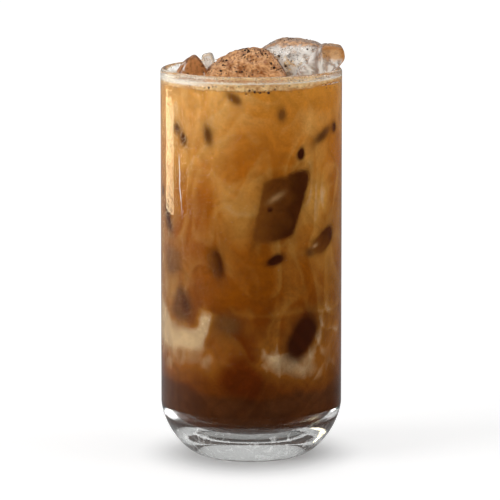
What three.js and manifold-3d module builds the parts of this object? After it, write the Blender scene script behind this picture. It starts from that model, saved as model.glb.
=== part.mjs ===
// Iced chai latte in a tall straight glass with a thick rounded base.
// Milky tea fills the glass, a thin layer of spiced foam lies on it, and pieces of ice stand out of
// the foam, one of them leaning on the rim. Millimetres, +Z up, origin at the centre of the base,
// the shown side towards -Y.

import * as THREE from "three";
import { mergeVertices } from "three/addons/utils/BufferGeometryUtils.js";
import Module from "manifold-3d";

const wasm = await Module();
wasm.setup();

// Driving dimensions of the glass
const GLASS_RADIUS = 36;
const GLASS_HEIGHT = 155;
const WALL = 2.8;
const BASE_THICKNESS = 10.5;
const FOOT_RADIUS = 20;
const HEEL_HEIGHT = 21.5;
const HEEL_FULLNESS = 1.6;
const FLOOR_CORNER = 20;
const GLASS_SEGMENTS = 72;
const FILL_SEGMENTS = 48;

// Driving dimensions of the drink, its foam and the spice on it
const GAP = 0.3;
const DRINK_LEVEL = 149.4;
const FOAM_LEVEL = 150.6;
const FOAM_CLIMB = 1.6;
const FOAM_CLIMB_WIDTH = 2.6;
const FOAM_WAVE = 0.12;
const SPECK_RADIUS = [0.42, 0.72];
const SPECK_SINK = 0.25;

// Driving dimensions of the ice
const ICE_STEPS = 7;
const ICE_EDGE = 9;
const ICE_MELT = 0.35;
const ICE_WAVE = 9;

const INNER_RADIUS = GLASS_RADIUS - WALL;

// Random numbers between 0 and 1 that come out the same on every run
function seeded(seed) {
  let state = seed;
  return () => {
    state = (state * 1664525 + 1013904223) % 4294967296;
    return state / 4294967296;
  };
}

// Geometry to solid: only positions are kept, shared vertices are merged, and the triangles that
// close up at a pole are dropped
function toSolid(geometry) {
  const bare = geometry.clone();
  bare.deleteAttribute("normal");
  bare.deleteAttribute("uv");
  const merged = mergeVertices(bare, 1e-4);
  const index = merged.index.array;
  const kept = [];
  for (let i = 0; i < index.length; i += 3) {
    const [a, b, c] = [index[i], index[i + 1], index[i + 2]];
    if (a !== b && b !== c && c !== a) kept.push(a, b, c);
  }
  const vertProperties = new Float32Array(merged.attributes.position.array);
  const triVerts = new Uint32Array(kept);
  return new wasm.Manifold(new wasm.Mesh({ numProp: 3, vertProperties, triVerts }));
}

// The largest piece of a solid, without the scraps that a cut leaves loose
function largest(solid) {
  const pieces = solid.decompose();
  return pieces.reduce((best, piece) => (piece.volume() > best.volume() ? piece : best));
}

function toMesh(name, solid, look) {
  const result = solid.getMesh();
  const geometry = new THREE.BufferGeometry();
  geometry.setAttribute("position", new THREE.BufferAttribute(result.vertProperties, 3));
  geometry.setIndex(new THREE.BufferAttribute(result.triVerts, 1));
  geometry.computeVertexNormals();
  const mesh = new THREE.Mesh(geometry, new THREE.MeshStandardMaterial(look));
  mesh.name = name;
  return mesh;
}

// A solid turned from a profile of [radius, height] points that starts and ends on the axis
function turned(profile, segments) {
  const points = profile.map(([radius, height]) => new THREE.Vector2(radius, height));
  return new THREE.LatheGeometry(points, segments).rotateX(Math.PI / 2);
}

// The round inner corner between floor and wall, from the floor up
function floorCorner(radius, floor, corner, steps) {
  const points = [];
  for (let i = 0; i <= steps; i++) {
    const angle = (i / steps) * (Math.PI / 2);
    const out = radius - corner * (1 - Math.sin(angle));
    points.push([out, floor + corner * (1 - Math.cos(angle))]);
  }
  return points;
}

// Glass: the heel is a rounded corner between foot and wall, and the lip is a half round
function glassProfile() {
  const profile = [[0, 0]];
  const heelSteps = 10;
  const run = GLASS_RADIUS - FOOT_RADIUS;
  const power = 2 / HEEL_FULLNESS;
  for (let i = 0; i <= heelSteps; i++) {
    const angle = (i / heelSteps) * (Math.PI / 2);
    const radius = GLASS_RADIUS - run * (1 - Math.sin(angle) ** power);
    profile.push([radius, HEEL_HEIGHT * (1 - Math.cos(angle) ** power)]);
  }
  const lipSteps = 8;
  const lip = WALL / 2;
  for (let i = 0; i <= lipSteps; i++) {
    const angle = (i / lipSteps) * Math.PI;
    const radius = GLASS_RADIUS - lip + lip * Math.cos(angle);
    profile.push([radius, GLASS_HEIGHT - lip + lip * Math.sin(angle)]);
  }
  profile.push(...floorCorner(INNER_RADIUS, BASE_THICKNESS, FLOOR_CORNER, 8).reverse());
  profile.push([0, BASE_THICKNESS]);
  return profile;
}

function glassSolid() {
  return toSolid(turned(glassProfile(), GLASS_SEGMENTS));
}

// The space that the wall and its lip need, which the ice is kept out of
function wallClearance() {
  const lip = WALL / 2 + GAP;
  const middle = GLASS_RADIUS - WALL / 2;
  const steps = 8;
  const profile = [[middle + lip, DRINK_LEVEL - FLOOR_CORNER]];
  for (let i = 0; i <= steps; i++) {
    const angle = (i / steps) * Math.PI;
    profile.push([middle + lip * Math.cos(angle), GLASS_HEIGHT - WALL / 2 + lip * Math.sin(angle)]);
  }
  profile.push([middle - lip, DRINK_LEVEL - FLOOR_CORNER], profile[0]);
  return toSolid(turned(profile, GLASS_SEGMENTS));
}

// Drink: fills the glass from its floor up to the foam
function drinkSolid() {
  const radius = INNER_RADIUS - GAP;
  const profile = [[0, BASE_THICKNESS + GAP]];
  profile.push(...floorCorner(radius, BASE_THICKNESS + GAP, FLOOR_CORNER, 6));
  profile.push([radius, DRINK_LEVEL], [0, DRINK_LEVEL]);
  return toSolid(turned(profile, FILL_SEGMENTS));
}

// Height of the foam: slow waves, and a rim of foam that climbs the wall
function foamHeight(x, y) {
  const radius = Math.hypot(x, y);
  const wave = FOAM_WAVE * (Math.sin(x * 0.45 + 1.3) + Math.cos(y * 0.52 - 0.4)) * 0.5;
  const inner = INNER_RADIUS - GAP;
  const climb = THREE.MathUtils.clamp((radius - inner + FOAM_CLIMB_WIDTH) / FOAM_CLIMB_WIDTH, 0, 1);
  return FOAM_LEVEL + wave + FOAM_CLIMB * climb ** 1.5;
}

// Foam: a thin disc on the drink, its top shaped by foamHeight
function foamSolid() {
  const radius = INNER_RADIUS - GAP;
  const bottom = DRINK_LEVEL + GAP;
  const insets = [0, 1.2, 2.6, 9, 17, 25];
  const rings = insets.map((inset) => [radius - inset, FOAM_LEVEL]);
  const geometry = turned([[0, bottom], [radius, bottom], ...rings, [0, FOAM_LEVEL]], FILL_SEGMENTS);
  const position = geometry.attributes.position;
  for (let i = 0; i < position.count; i++) {
    if (position.getZ(i) < FOAM_LEVEL - GAP) continue;
    position.setZ(i, foamHeight(position.getX(i), position.getY(i)));
  }
  return toSolid(geometry);
}

// Ice: a block held between faces, each given as [azimuth, elevation, distance from the centre],
// with azimuth 0 towards +X, -90 towards the shown side and elevation 90 straight up. Its edges are
// worn round, and melting has left slow waves on its faces.
const ICE = {
  ice_left: {
    centre: [-21.5, -3, 148.5],
    faces: [
      [176, 38, 9.7], [170, 67, 11.6], [4, 33, 6.6], [-86, 14, 8.2], [94, 10, 7.6], [180, -4, 8.8], [-140, 0, 10.4],
      [0, -35, 6.6], [0, -90, 9.5],
    ],
  },
  ice_back_left: {
    centre: [-17, 12, 152],
    faces: [
      [184, 4, 2.9], [-4, 14, 3.1], [-96, 6, 5.2], [84, 8, 5], [160, 80, 7.1], [0, -90, 7],
    ],
  },
  ice_middle: {
    centre: [-3, -7, 151],
    faces: [
      [182, 54, 11.4], [80, 86, 12.5], [-6, 34, 14.5], [-86, 35, 10.9], [-92, -12, 12.6], [86, 8, 10],
      [178, -8, 14.6], [0, -90, 12],
    ],
  },
  ice_peak: {
    centre: [15, 5, 154],
    faces: [
      [172, 56, 12.5], [0, 82, 12.2], [-8, 6, 14.4], [-97, 17, 10.2], [82, 10, 9.2], [38, 0, 14],
      [174, -10, 12], [0, -90, 13],
    ],
  },
  ice_right: {
    centre: [28, -2, 154.4],
    faces: [
      [180, 42, 6.9], [0, 88, 10], [0, 12, 9.9], [0, -42, 3.9], [-90, 10, 7], [90, 10, 7], [180, -48, 12],
    ],
  },
};

function faceNormal([azimuth, elevation]) {
  const a = THREE.MathUtils.degToRad(azimuth);
  const e = THREE.MathUtils.degToRad(elevation);
  return new THREE.Vector3(Math.cos(a) * Math.cos(e), Math.sin(a) * Math.cos(e), Math.sin(e));
}

// Distance from the centre of a block of ice to its surface, in one direction
function iceReach(block, direction) {
  let sum = 0;
  for (const face of block.faces) {
    const facing = Math.max(0, faceNormal(face).dot(direction));
    sum += (facing / face[2]) ** ICE_EDGE;
  }
  const reach = sum ** (-1 / ICE_EDGE);
  const [x, y, z] = direction.clone().multiplyScalar(reach / ICE_WAVE * Math.PI).toArray();
  const wave = Math.sin(x + block.centre[0]) * Math.cos(y * 1.2) + Math.sin(z * 1.1 + block.centre[1]) * 0.6;
  return reach + ICE_MELT * wave;
}

function icePoint(block, direction, outward = 0) {
  const reach = iceReach(block, direction) + outward;
  return direction.clone().multiplyScalar(reach).add(new THREE.Vector3(...block.centre));
}

function iceSolid(block, outward = 0) {
  const geometry = new THREE.BoxGeometry(2, 2, 2, ICE_STEPS, ICE_STEPS, ICE_STEPS);
  const position = geometry.attributes.position;
  for (let i = 0; i < position.count; i++) {
    const corner = new THREE.Vector3().fromBufferAttribute(position, i);
    const spread = corner.clone().multiplyScalar(Math.PI / 4);
    const direction = new THREE.Vector3(Math.tan(spread.x), Math.tan(spread.y), Math.tan(spread.z));
    const point = icePoint(block, direction.normalize(), outward);
    position.setXYZ(i, ...point.toArray());
  }
  return toSolid(geometry);
}

// Spice: a coarse grain with its own size and turn, sunk a little into what it lies on
function speck(point, random) {
  const radius = THREE.MathUtils.lerp(...SPECK_RADIUS, random());
  const geometry = new THREE.IcosahedronGeometry(radius, 0);
  geometry.scale(1, 0.6 + 0.5 * random(), 0.8);
  geometry.rotateX(random() * Math.PI);
  geometry.rotateZ(random() * Math.PI);
  geometry.translate(...point.toArray());
  return toSolid(geometry);
}

// Grains are spread over the side of a block that faces up and forward, clear of the foam
const ICE_GRAINS = { ice_left: 3, ice_back_left: 0, ice_middle: 30, ice_peak: 10, ice_right: 2 };
const GRAIN_AZIMUTH = [-155, -10];
const GRAIN_ELEVATION = [8, 78];
const GRAIN_CLEARANCE = 2;

function spiced(name, solid) {
  const random = seeded(11 + name.length * 7);
  let result = solid;
  for (let i = 0; i < ICE_GRAINS[name]; i++) {
    const azimuth = THREE.MathUtils.lerp(...GRAIN_AZIMUTH, random());
    const elevation = THREE.MathUtils.lerp(...GRAIN_ELEVATION, random());
    const point = icePoint(ICE[name], faceNormal([azimuth, elevation]), -SPECK_SINK);
    if (point.z > FOAM_LEVEL + GRAIN_CLEARANCE) result = result.add(speck(point, random));
  }
  return largest(result);
}

// The pieces nearest the front of this order keep their form, and each later one is cut to clear them
const ICE_ORDER = ["ice_left", "ice_right", "ice_back_left", "ice_middle", "ice_peak"];

function iceSolids() {
  const placed = {};
  const wall = wallClearance();
  for (const name of ICE_ORDER) {
    let solid = iceSolid(ICE[name]).subtract(wall);
    for (const other of Object.keys(placed)) solid = solid.subtract(iceSolid(ICE[other], GAP));
    placed[name] = largest(solid);
  }
  for (const name of ICE_ORDER) {
    let solid = spiced(name, placed[name]);
    for (const other of ICE_ORDER) {
      if (other !== name) solid = solid.subtract(placed[other]);
    }
    placed[name] = largest(solid);
  }
  return placed;
}

// Spice on the foam lies along the wall and round the ice, and leaves the open front bare
const FOAM_GRAINS = 44;
const FOAM_GRAIN_RING = [14, 31.9];
const OPEN_FRONT = { halfWidth: 13, back: -19, front: -30.9 };

function onOpenFront(x, y) {
  const inner = Math.hypot(x, y) < -OPEN_FRONT.front;
  return Math.abs(x) < OPEN_FRONT.halfWidth && y < OPEN_FRONT.back && inner;
}

function spicedFoam(solid) {
  const random = seeded(5);
  let result = solid;
  for (let i = 0; i < FOAM_GRAINS; i++) {
    const angle = random() * 2 * Math.PI;
    const radius = THREE.MathUtils.lerp(...FOAM_GRAIN_RING, Math.sqrt(random()));
    const x = radius * Math.cos(angle);
    const y = radius * Math.sin(angle);
    const grain = speck(new THREE.Vector3(x, y, foamHeight(x, y) - SPECK_SINK), random);
    if (!onOpenFront(x, y)) result = result.add(grain);
  }
  return result;
}

function clearOfIce(solid) {
  let result = solid;
  for (const name of ICE_ORDER) result = result.subtract(iceSolid(ICE[name], GAP));
  return largest(result);
}

const GLASS_LOOK = { color: 0xdfe6e4, roughness: 0.05, metalness: 0, transparent: true, opacity: 0.35 };
const DRINK_LOOK = { color: 0x9c6a38, roughness: 0.35, metalness: 0 };
const FOAM_LOOK = { color: 0xcd9c74, roughness: 0.6, metalness: 0 };
const COATED_ICE_LOOK = { color: 0xb98258, roughness: 0.5, metalness: 0 };
const CLEAR_ICE_LOOK = { color: 0xe6dacb, roughness: 0.1, metalness: 0 };
const ICE_LOOKS = {
  ice_left: COATED_ICE_LOOK,
  ice_back_left: CLEAR_ICE_LOOK,
  ice_middle: COATED_ICE_LOOK,
  ice_peak: CLEAR_ICE_LOOK,
  ice_right: CLEAR_ICE_LOOK,
};

const latte = new THREE.Group();
latte.add(toMesh("glass", glassSolid(), GLASS_LOOK));
latte.add(toMesh("drink", clearOfIce(drinkSolid()), DRINK_LOOK));
latte.add(toMesh("foam", clearOfIce(spicedFoam(foamSolid())), FOAM_LOOK));
for (const [name, solid] of Object.entries(iceSolids())) {
  latte.add(toMesh(name, solid, ICE_LOOKS[name]));
}

export default latte;
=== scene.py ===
import math

import bmesh
import bpy
import numpy as np
from mathutils import Matrix, Vector, noise


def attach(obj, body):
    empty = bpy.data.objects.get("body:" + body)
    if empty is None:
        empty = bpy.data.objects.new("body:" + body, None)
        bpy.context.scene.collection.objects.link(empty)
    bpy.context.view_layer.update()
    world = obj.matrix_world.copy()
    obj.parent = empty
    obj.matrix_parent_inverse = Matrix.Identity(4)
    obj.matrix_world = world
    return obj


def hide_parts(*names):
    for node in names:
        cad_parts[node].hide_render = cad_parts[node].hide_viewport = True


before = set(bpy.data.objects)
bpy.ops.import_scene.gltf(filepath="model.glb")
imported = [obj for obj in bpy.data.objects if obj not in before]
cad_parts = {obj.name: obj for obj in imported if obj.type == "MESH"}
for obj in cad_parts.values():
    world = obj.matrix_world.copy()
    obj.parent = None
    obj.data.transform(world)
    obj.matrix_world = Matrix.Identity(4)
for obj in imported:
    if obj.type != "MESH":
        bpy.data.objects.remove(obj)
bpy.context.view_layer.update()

# Glass: a straight tumbler of clear glass, pressed thick at the base, with a soft heel below the wall.
# Its lip is a half round, melted smooth, and cold has left fine dew on its outside.
# Sizes are in millimetres here and below, and each piece is brought to metres when it is finished.
MM = 0.001
GLASS_RADIUS = 36
GLASS_HEIGHT = 155
WALL = 2.8
INNER_RADIUS = GLASS_RADIUS - WALL
BASE_THICKNESS = 10.5
FOOT_RADIUS = 20
HEEL_HEIGHT = 21.5
HEEL_FULLNESS = 1.6
FLOOR_CORNER = 20
GLASS_STEPS = 160
GLASS_IOR = 1.5
IOR_AGAINST_TEA = 1.22
WET_SLOPE = 60
WALL_TINT = (0.98, 0.985, 0.98)
BASE_SHADE_GREY = (0.6, 0.61, 0.6)
BASE_STREAK = (0.95, 0.96, 0.95)
BASE_HAZE = (0.22, 0.5)
DEW_DEPTH = 0.1


def corner(inner, outer, low, height, power, steps):
    """Points of a rounded corner in profile, from a level floor out and up to an upright wall"""
    points = []
    for i in range(steps + 1):
        angle = i / steps * math.pi / 2
        radius = outer - (outer - inner) * (1 - math.sin(angle) ** power)
        points.append((radius, low + height * (1 - math.cos(angle) ** power)))
    return points


def turned(profile, steps):
    """A form spun round the upright axis from a profile of radius and height"""
    form = bmesh.new()
    points = [form.verts.new((radius, 0, height)) for radius, height in profile]
    edges = [form.edges.new(pair) for pair in zip(points, points[1:])]
    bmesh.ops.spin(
        form, geom=points + edges, cent=(0, 0, 0), axis=(0, 0, 1), dvec=(0, 0, 0),
        angle=math.tau, steps=steps, use_merge=True, use_duplicate=False,
    )
    bmesh.ops.remove_doubles(form, verts=form.verts[:], dist=1e-4)
    bmesh.ops.recalc_face_normals(form, faces=form.faces[:])
    return form


def finished(form, name, look, replaced=()):
    """The piece that a form in millimetres stands for, riding on the one body"""
    bmesh.ops.scale(form, vec=(MM, MM, MM), verts=form.verts[:])
    mesh = bpy.data.meshes.new(name)
    form.to_mesh(mesh)
    form.free()
    mesh.shade_smooth()
    mesh.materials.append(look)
    piece = bpy.data.objects.new(name, mesh)
    bpy.context.scene.collection.objects.link(piece)
    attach(piece, "root")
    if replaced:
        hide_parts(*replaced)
    return piece


def new_look(name):
    look = bpy.data.materials.new(name)
    look.use_nodes = True
    return look


def add_node(look, kind, **inputs):
    node = look.node_tree.nodes.new(kind)
    for name, value in inputs.items():
        node.inputs[name.replace("_", " ")].default_value = value
    return node


def wire(look, source, target):
    look.node_tree.links.new(source, target)


def shader_of(look):
    return look.node_tree.nodes["Principled BSDF"]


def grain(look, size, detail=2, distortion=0):
    """Noise on the piece's own coordinates, with marks of one size in millimetres"""
    place = add_node(look, "ShaderNodeTexCoord")
    pattern = add_node(look, "ShaderNodeTexNoise", Scale=1 / (size * MM), Detail=detail)
    pattern.inputs["Distortion"].default_value = distortion
    wire(look, place.outputs["Object"], pattern.inputs["Vector"])
    return pattern.outputs["Fac"]


def eased(look, source, low, high, to_low=0, to_high=1):
    node = add_node(look, "ShaderNodeMapRange", To_Min=to_low, To_Max=to_high)
    node.inputs["From Min"].default_value = low
    node.inputs["From Max"].default_value = high
    node.interpolation_type = "SMOOTHSTEP"
    wire(look, source, node.inputs["Value"])
    return node.outputs["Result"]


def product(look, first, second):
    node = add_node(look, "ShaderNodeMath")
    node.operation = "MULTIPLY"
    wire(look, first, node.inputs[0])
    wire(look, second, node.inputs[1])
    return node.outputs["Value"]


def relief(look, height, depth, strength=1):
    """Bump of a depth in millimetres on the piece's shader"""
    bump = add_node(look, "ShaderNodeBump", Strength=strength, Distance=depth * MM)
    wire(look, height, bump.inputs["Height"])
    wire(look, bump.outputs["Normal"], shader_of(look).inputs["Normal"])


def lets_light_through(look, share=None):
    """Rays from the lamps pass this look, all of them or the share that a socket gives"""
    path = add_node(look, "ShaderNodeLightPath")
    clear = add_node(look, "ShaderNodeBsdfTransparent")
    mix = add_node(look, "ShaderNodeMixShader")
    fraction = path.outputs["Is Shadow Ray"]
    if share is not None:
        fraction = product(look, fraction, share)
    wire(look, fraction, mix.inputs["Fac"])
    wire(look, shader_of(look).outputs["BSDF"], mix.inputs[1])
    wire(look, clear.outputs["BSDF"], mix.inputs[2])
    wire(look, mix.outputs["Shader"], look.node_tree.nodes["Material Output"].inputs["Surface"])


def glass_profile():
    lip = WALL / 2
    lip_steps = 16
    profile = [(0, 0)]
    profile += corner(FOOT_RADIUS, GLASS_RADIUS, 0, HEEL_HEIGHT, 2 / HEEL_FULLNESS, 30)
    for i in range(lip_steps + 1):
        angle = i / lip_steps * math.pi
        radius = GLASS_RADIUS - lip + lip * math.cos(angle)
        profile.append((radius, GLASS_HEIGHT - lip + lip * math.sin(angle)))
    inside = corner(INNER_RADIUS - FLOOR_CORNER, INNER_RADIUS, BASE_THICKNESS, FLOOR_CORNER, 1, 24)
    profile += inside[::-1]
    profile.append((0, BASE_THICKNESS))
    return profile


def clear_glass():
    """Clear glass with fine dew on it, marbled by pale streaks in its thick base, which is tinted grey
    as painted shade
    """
    look = new_look("clear_glass")
    shader = shader_of(look)
    shader.inputs["Roughness"].default_value = 0.015
    shader.inputs["IOR"].default_value = GLASS_IOR
    place = add_node(look, "ShaderNodeTexCoord")
    split = add_node(look, "ShaderNodeSeparateXYZ")
    wire(look, place.outputs["Object"], split.inputs["Vector"])
    in_base = eased(look, split.outputs["Z"], 19 * MM, 9 * MM)
    streaks = eased(look, grain(look, 6, detail=6, distortion=2.4), 0.5, 0.72)
    # Painted shade: the thick base is tinted grey for the shadow seen through it
    tint = add_node(look, "ShaderNodeMix")
    tint.data_type = "RGBA"
    tint.inputs["A"].default_value = (*BASE_SHADE_GREY, 1)
    tint.inputs["B"].default_value = (*BASE_STREAK, 1)
    wire(look, streaks, tint.inputs["Factor"])
    whole = add_node(look, "ShaderNodeMix")
    whole.data_type = "RGBA"
    whole.inputs["A"].default_value = (*WALL_TINT, 1)
    wire(look, tint.outputs["Result"], whole.inputs["B"])
    wire(look, in_base, whole.inputs["Factor"])
    wire(look, whole.outputs["Result"], shader.inputs["Base Color"])
    haze = eased(look, streaks, 0, 1, BASE_HAZE[0], BASE_HAZE[1])
    clearness = eased(look, product(look, haze, in_base), 0, 1, 1, 0)
    wire(look, clearness, shader.inputs["Transmission Weight"])
    above_base = eased(look, split.outputs["Z"], 32 * MM, 46 * MM)
    patches = eased(look, grain(look, 9, detail=3), 0.4, 0.6, 0.35, 1)
    drops = eased(look, grain(look, 1, detail=2), 0.46, 0.56)
    relief(look, product(look, drops, product(look, patches, above_base)), DEW_DEPTH)
    lets_light_through(look)
    return look


def glass_against_tea():
    """The floor of the glass under the drink, which bends light less than glass against air does"""
    look = new_look("glass_against_tea")
    shader = shader_of(look)
    shader.inputs["Roughness"].default_value = 0
    shader.inputs["IOR"].default_value = IOR_AGAINST_TEA
    shader.inputs["Transmission Weight"].default_value = 1
    wire(look, eased(look, grain(look, 4, detail=3), 0.3, 0.7, 0.97, 1), shader.inputs["Base Color"])
    lets_light_through(look)
    return look


tumbler = finished(
    turned(glass_profile(), GLASS_STEPS), "glass_tumbler", clear_glass(), ["glass"]
)
tumbler.data.materials.append(glass_against_tea())
for face in tumbler.data.polygons:
    on_floor = face.normal.z > math.cos(math.radians(WET_SLOPE)) and face.center.z < HEEL_HEIGHT * MM
    face.material_index = int(on_floor)

# Drink: milky tea that fills the glass from its floor to the foam, stirred only by the milk poured in.
# Milk hangs in it as clouds and thin folded veils, over amber tea and a dark layer that has settled.
# It reaches just into the wall, so that no gap of air shows, and stands a hair above the rounded floor
# of the glass, which mirrors the base at low angles as it does under a real drink.
INTO_WALL = 0.15
FLOOR_CLEAR = 0.12
TOUCH_SLOPE = (WET_SLOPE - 4, WET_SLOPE)
CORNER_STEPS = 36
DRINK_RADIUS = INNER_RADIUS + INTO_WALL
DRINK_LEVEL = 149.4
UNDER_FOAM = 0.5
DRINK_STEP = 0.58
ARC = math.radians(DRINK_RADIUS)

# Without a seed of its own the noise that moves points would come out new on every run
DRIFT_SEED = 6
noise.seed_set(DRIFT_SEED)

# Colours by height: clear tea, tea with its milk stirred in, and tea that has settled
AMBER_TEA = [(20, (63, 20, 1)), (45, (101, 42, 1)), (70, (131, 69, 3)),
             (95, (145, 80, 8)), (120, (172, 101, 20)), (150, (203, 136, 49))]
MILKY_TEA = [(20, (95, 48, 13)), (45, (143, 86, 24)), (70, (162, 111, 45)),
             (95, (177, 125, 55)), (120, (198, 143, 66)), (150, (218, 165, 91))]
CREAM = (196, 166, 124)
MILK_SHARE = 0.42
STILL_BELOW = (30, 56)
SETTLED_TOP = 28.5
SETTLED_RISE = 2.6
SETTLED_TEA = (66, 30, 6)
SETTLED_MILKY = (100, 62, 34)

# Clouds of milk as angle round the glass (degrees, right of the shown side), height, half width,
# half height, lean to the right (degrees), and how much milk they add or, below 0, leave out
MILK_CLOUDS = [
    (-66, 51.5, 14, 5, 0, 1.1),
    (-80, 56, 7, 6.5, 0, 0.8),
    (-64, 45, 14, 7, 0, 0.4),
    (-42, 50.5, 6.5, 3.8, -12, 1),
    (-33.5, 59, 2.6, 6, 8, 1.3),
    (-44, 61, 3.2, 4, 0, -1.3),
    (-60, 42, 14, 7, 0, 0.38),
    (-30, 43, 12, 6, 0, 0.34),
    (-29, 50.5, 2.2, 2.4, 0, -0.6),
    (-9, 100, 9, 11, 15, 0.4),
    (-30, 109, 3, 14, -12, -0.4),
    (50, 137, 9, 4.5, 10, 0.35),
    (52, 124, 11, 5, 10, 0.35),
    (50, 107, 6, 8, 15, 0.5),
    (14, 131, 14, 15, 0, -0.45),
    (52, 146, 16, 5, 0, -0.4),
    (5, 70, 20, 16, 0, -0.5),
    (11, 43, 6, 6, 0, 0.34),
    (23, 40.5, 9, 6, 0, 0.36),
    (36, 38, 11, 6, 20, 0.4),
    (-6, 37, 10, 8, 0, -0.65),
    (58, 44, 12, 15, 0, 0.42),
    (-88, 80, 7, 28, 0, 0.5),
    (-55, 130, 18, 18, 0, 0.3),
    (130, 120, 16, 12, 20, 0.4),
    (-140, 96, 14, 16, -15, 0.45),
    (172, 74, 18, 9, 10, 0.5),
    (118, 58, 10, 5, -10, 0.9),
    (-112, 44, 9, 4, 12, 0.7),
    (160, 44, 10, 4, 8, 0.6),
]

# Veils of milk as a route of angle and height, how far they fade to the left of the route and to the
# right of it, and how much milk they add or leave out
MILK_VEILS = [
    ([(-8.7, 127), (-2.8, 119.4), (-4.7, 114.3), (-9.3, 108.4), (-17.4, 105)], 0.5, 3, -0.5),
    ([(-1.5, 110), (0.5, 114.3), (5.7, 116), (9.7, 116.2)], 0.5, 3, 0.45),
    ([(9, 118), (20, 120), (34, 119), (44, 121)], 0.6, 3, 0.3),
    ([(-55, 69), (-46, 66), (-35, 64), (-20, 61.5), (-13, 59.7), (-6.7, 55)], 5, 0.5, -0.6),
    ([(10.2, 50.7), (13.1, 56.2), (17.5, 62.6)], 0.7, 0.7, 0.4),
    ([(54.3, 66), (53.6, 55), (46, 45.5), (36.3, 41)], 1.2, 4.5, 0.6),
    ([(5.1, 51), (7.7, 46.7), (4.4, 39.6)], 4, 0.5, 0.35),
    ([(5.7, 50), (10, 45.5), (15.8, 44), (22, 46), (32, 47)], 0.5, 4, 0.42),
    ([(27.6, 90.6), (30.7, 81.7), (36, 73.5), (38.6, 69.4)], 0.8, 0.8, 0.35),
    ([(71.7, 117.6), (68.4, 111.4), (65.4, 102), (57.7, 96)], 0.6, 3, -0.5),
    ([(-39.8, 81), (-31.8, 72.5), (-19.5, 67), (-10.7, 62.6)], 3, 0.8, 0.3),
    ([(-34, 97), (-22, 90), (-8, 84), (4, 78), (9, 68)], 1, 4, 0.25),
    ([(-16, 84), (-6, 76), (-2, 68), (4, 60)], 0.9, 3, 0.18),
    ([(12.3, 87), (21.2, 87.6), (26.2, 90.6), (26.5, 86), (30.7, 81.7)], 0.7, 1, 0.45),
    ([(40, 84), (46, 74), (58, 68), (64, 58)], 0.6, 2.4, 0.3),
    ([(110, 130), (124, 118), (138, 112), (152, 98)], 0.6, 4, 0.4),
    ([(-170, 120), (-158, 108), (-150, 90), (-136, 80)], 3.5, 0.6, -0.45),
    ([(150, 70), (164, 62), (-178, 60), (-166, 48)], 0.6, 3, 0.4),
    ([(-128, 66), (-116, 58), (-104, 60), (-96, 50)], 3, 0.7, 0.4),
]


def linear(colour):
    """A screen colour from 0 to 255 as light"""
    share = np.asarray(colour, dtype=float) / 255
    return np.where(share <= 0.04045, share / 12.92, ((share + 0.055) / 1.055) ** 2.4)


def tone_at(heights, stops):
    levels = [height for height, _ in stops]
    tones = linear([colour for _, colour in stops])
    return np.stack([np.interp(heights, levels, tones[:, i]) for i in range(3)], axis=1)


def blended(first, second, share):
    share = np.clip(share, 0, 1)[:, None]
    return first * (1 - share) + second * share


def smooth(values, low, high):
    share = np.clip((values - low) / (high - low), 0, 1)
    return share * share * (3 - 2 * share)


def noise_at(points, size, shift, octaves=1):
    offset = Vector((shift, 1.7 * shift, -shift))
    return np.array([noise.fractal(Vector(p) / size + offset, 1, 2, octaves) for p in points])


def drift_at(points, size, shift):
    offset = Vector((shift, 1.7 * shift, -shift))
    return np.array([noise.noise_vector(Vector(p) / size + offset) for p in points])


def on_wall(points):
    """Angle in degrees and height of points in millimetres"""
    return np.degrees(np.arctan2(points[:, 0], -points[:, 1])), points[:, 2]


def turned_past(angles, angle):
    """Degrees from one angle to others, the short way round"""
    return (angles - angle + 180) % 360 - 180


def cloud_share(angles, heights, angle, height, half_width, half_height, lean):
    across = turned_past(angles, angle) * ARC
    up = heights - height
    tilt = math.radians(lean)
    along = (across * math.cos(tilt) - up * math.sin(tilt)) / half_width
    above = (across * math.sin(tilt) + up * math.cos(tilt)) / half_height
    return np.exp(-0.7 * (along**2 + above**2) ** 1.5)


def veil_share(angles, heights, route, to_left, to_right):
    start = route[0][0]
    across = turned_past(angles, start) * ARC
    nearest = np.full(len(angles), 1e3)
    share = np.zeros(len(angles))
    steps = len(route) - 1
    for i in range(steps):
        x0, z0 = (route[i][0] - start) * ARC, route[i][1]
        x1, z1 = (route[i + 1][0] - start) * ARC, route[i + 1][1]
        length = math.hypot(x1 - x0, z1 - z0)
        ahead = (x1 - x0) / length, (z1 - z0) / length
        along = np.clip((across - x0) * ahead[0] + (heights - z0) * ahead[1], 0, length)
        gap = np.hypot(across - x0 - along * ahead[0], heights - z0 - along * ahead[1])
        left = (heights - z0) * ahead[0] - (across - x0) * ahead[1] > 0
        reach = np.where(left, to_left, to_right)
        way = (i + along / length) / steps
        here = np.exp(-((gap / reach) ** 1.5)) * np.sqrt(np.sin(math.pi * way))
        closer = gap < nearest
        share = np.where(closer, here, share)
        nearest = np.minimum(nearest, gap)
    return share


def folded(values, sharp=0.12):
    """Sheets with one sharp side and one that fades, from slowly changing values"""
    turn = values - np.floor(values)
    return np.where(turn < sharp, turn / sharp, ((1 - turn) / (1 - sharp)) ** 1.6)


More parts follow.
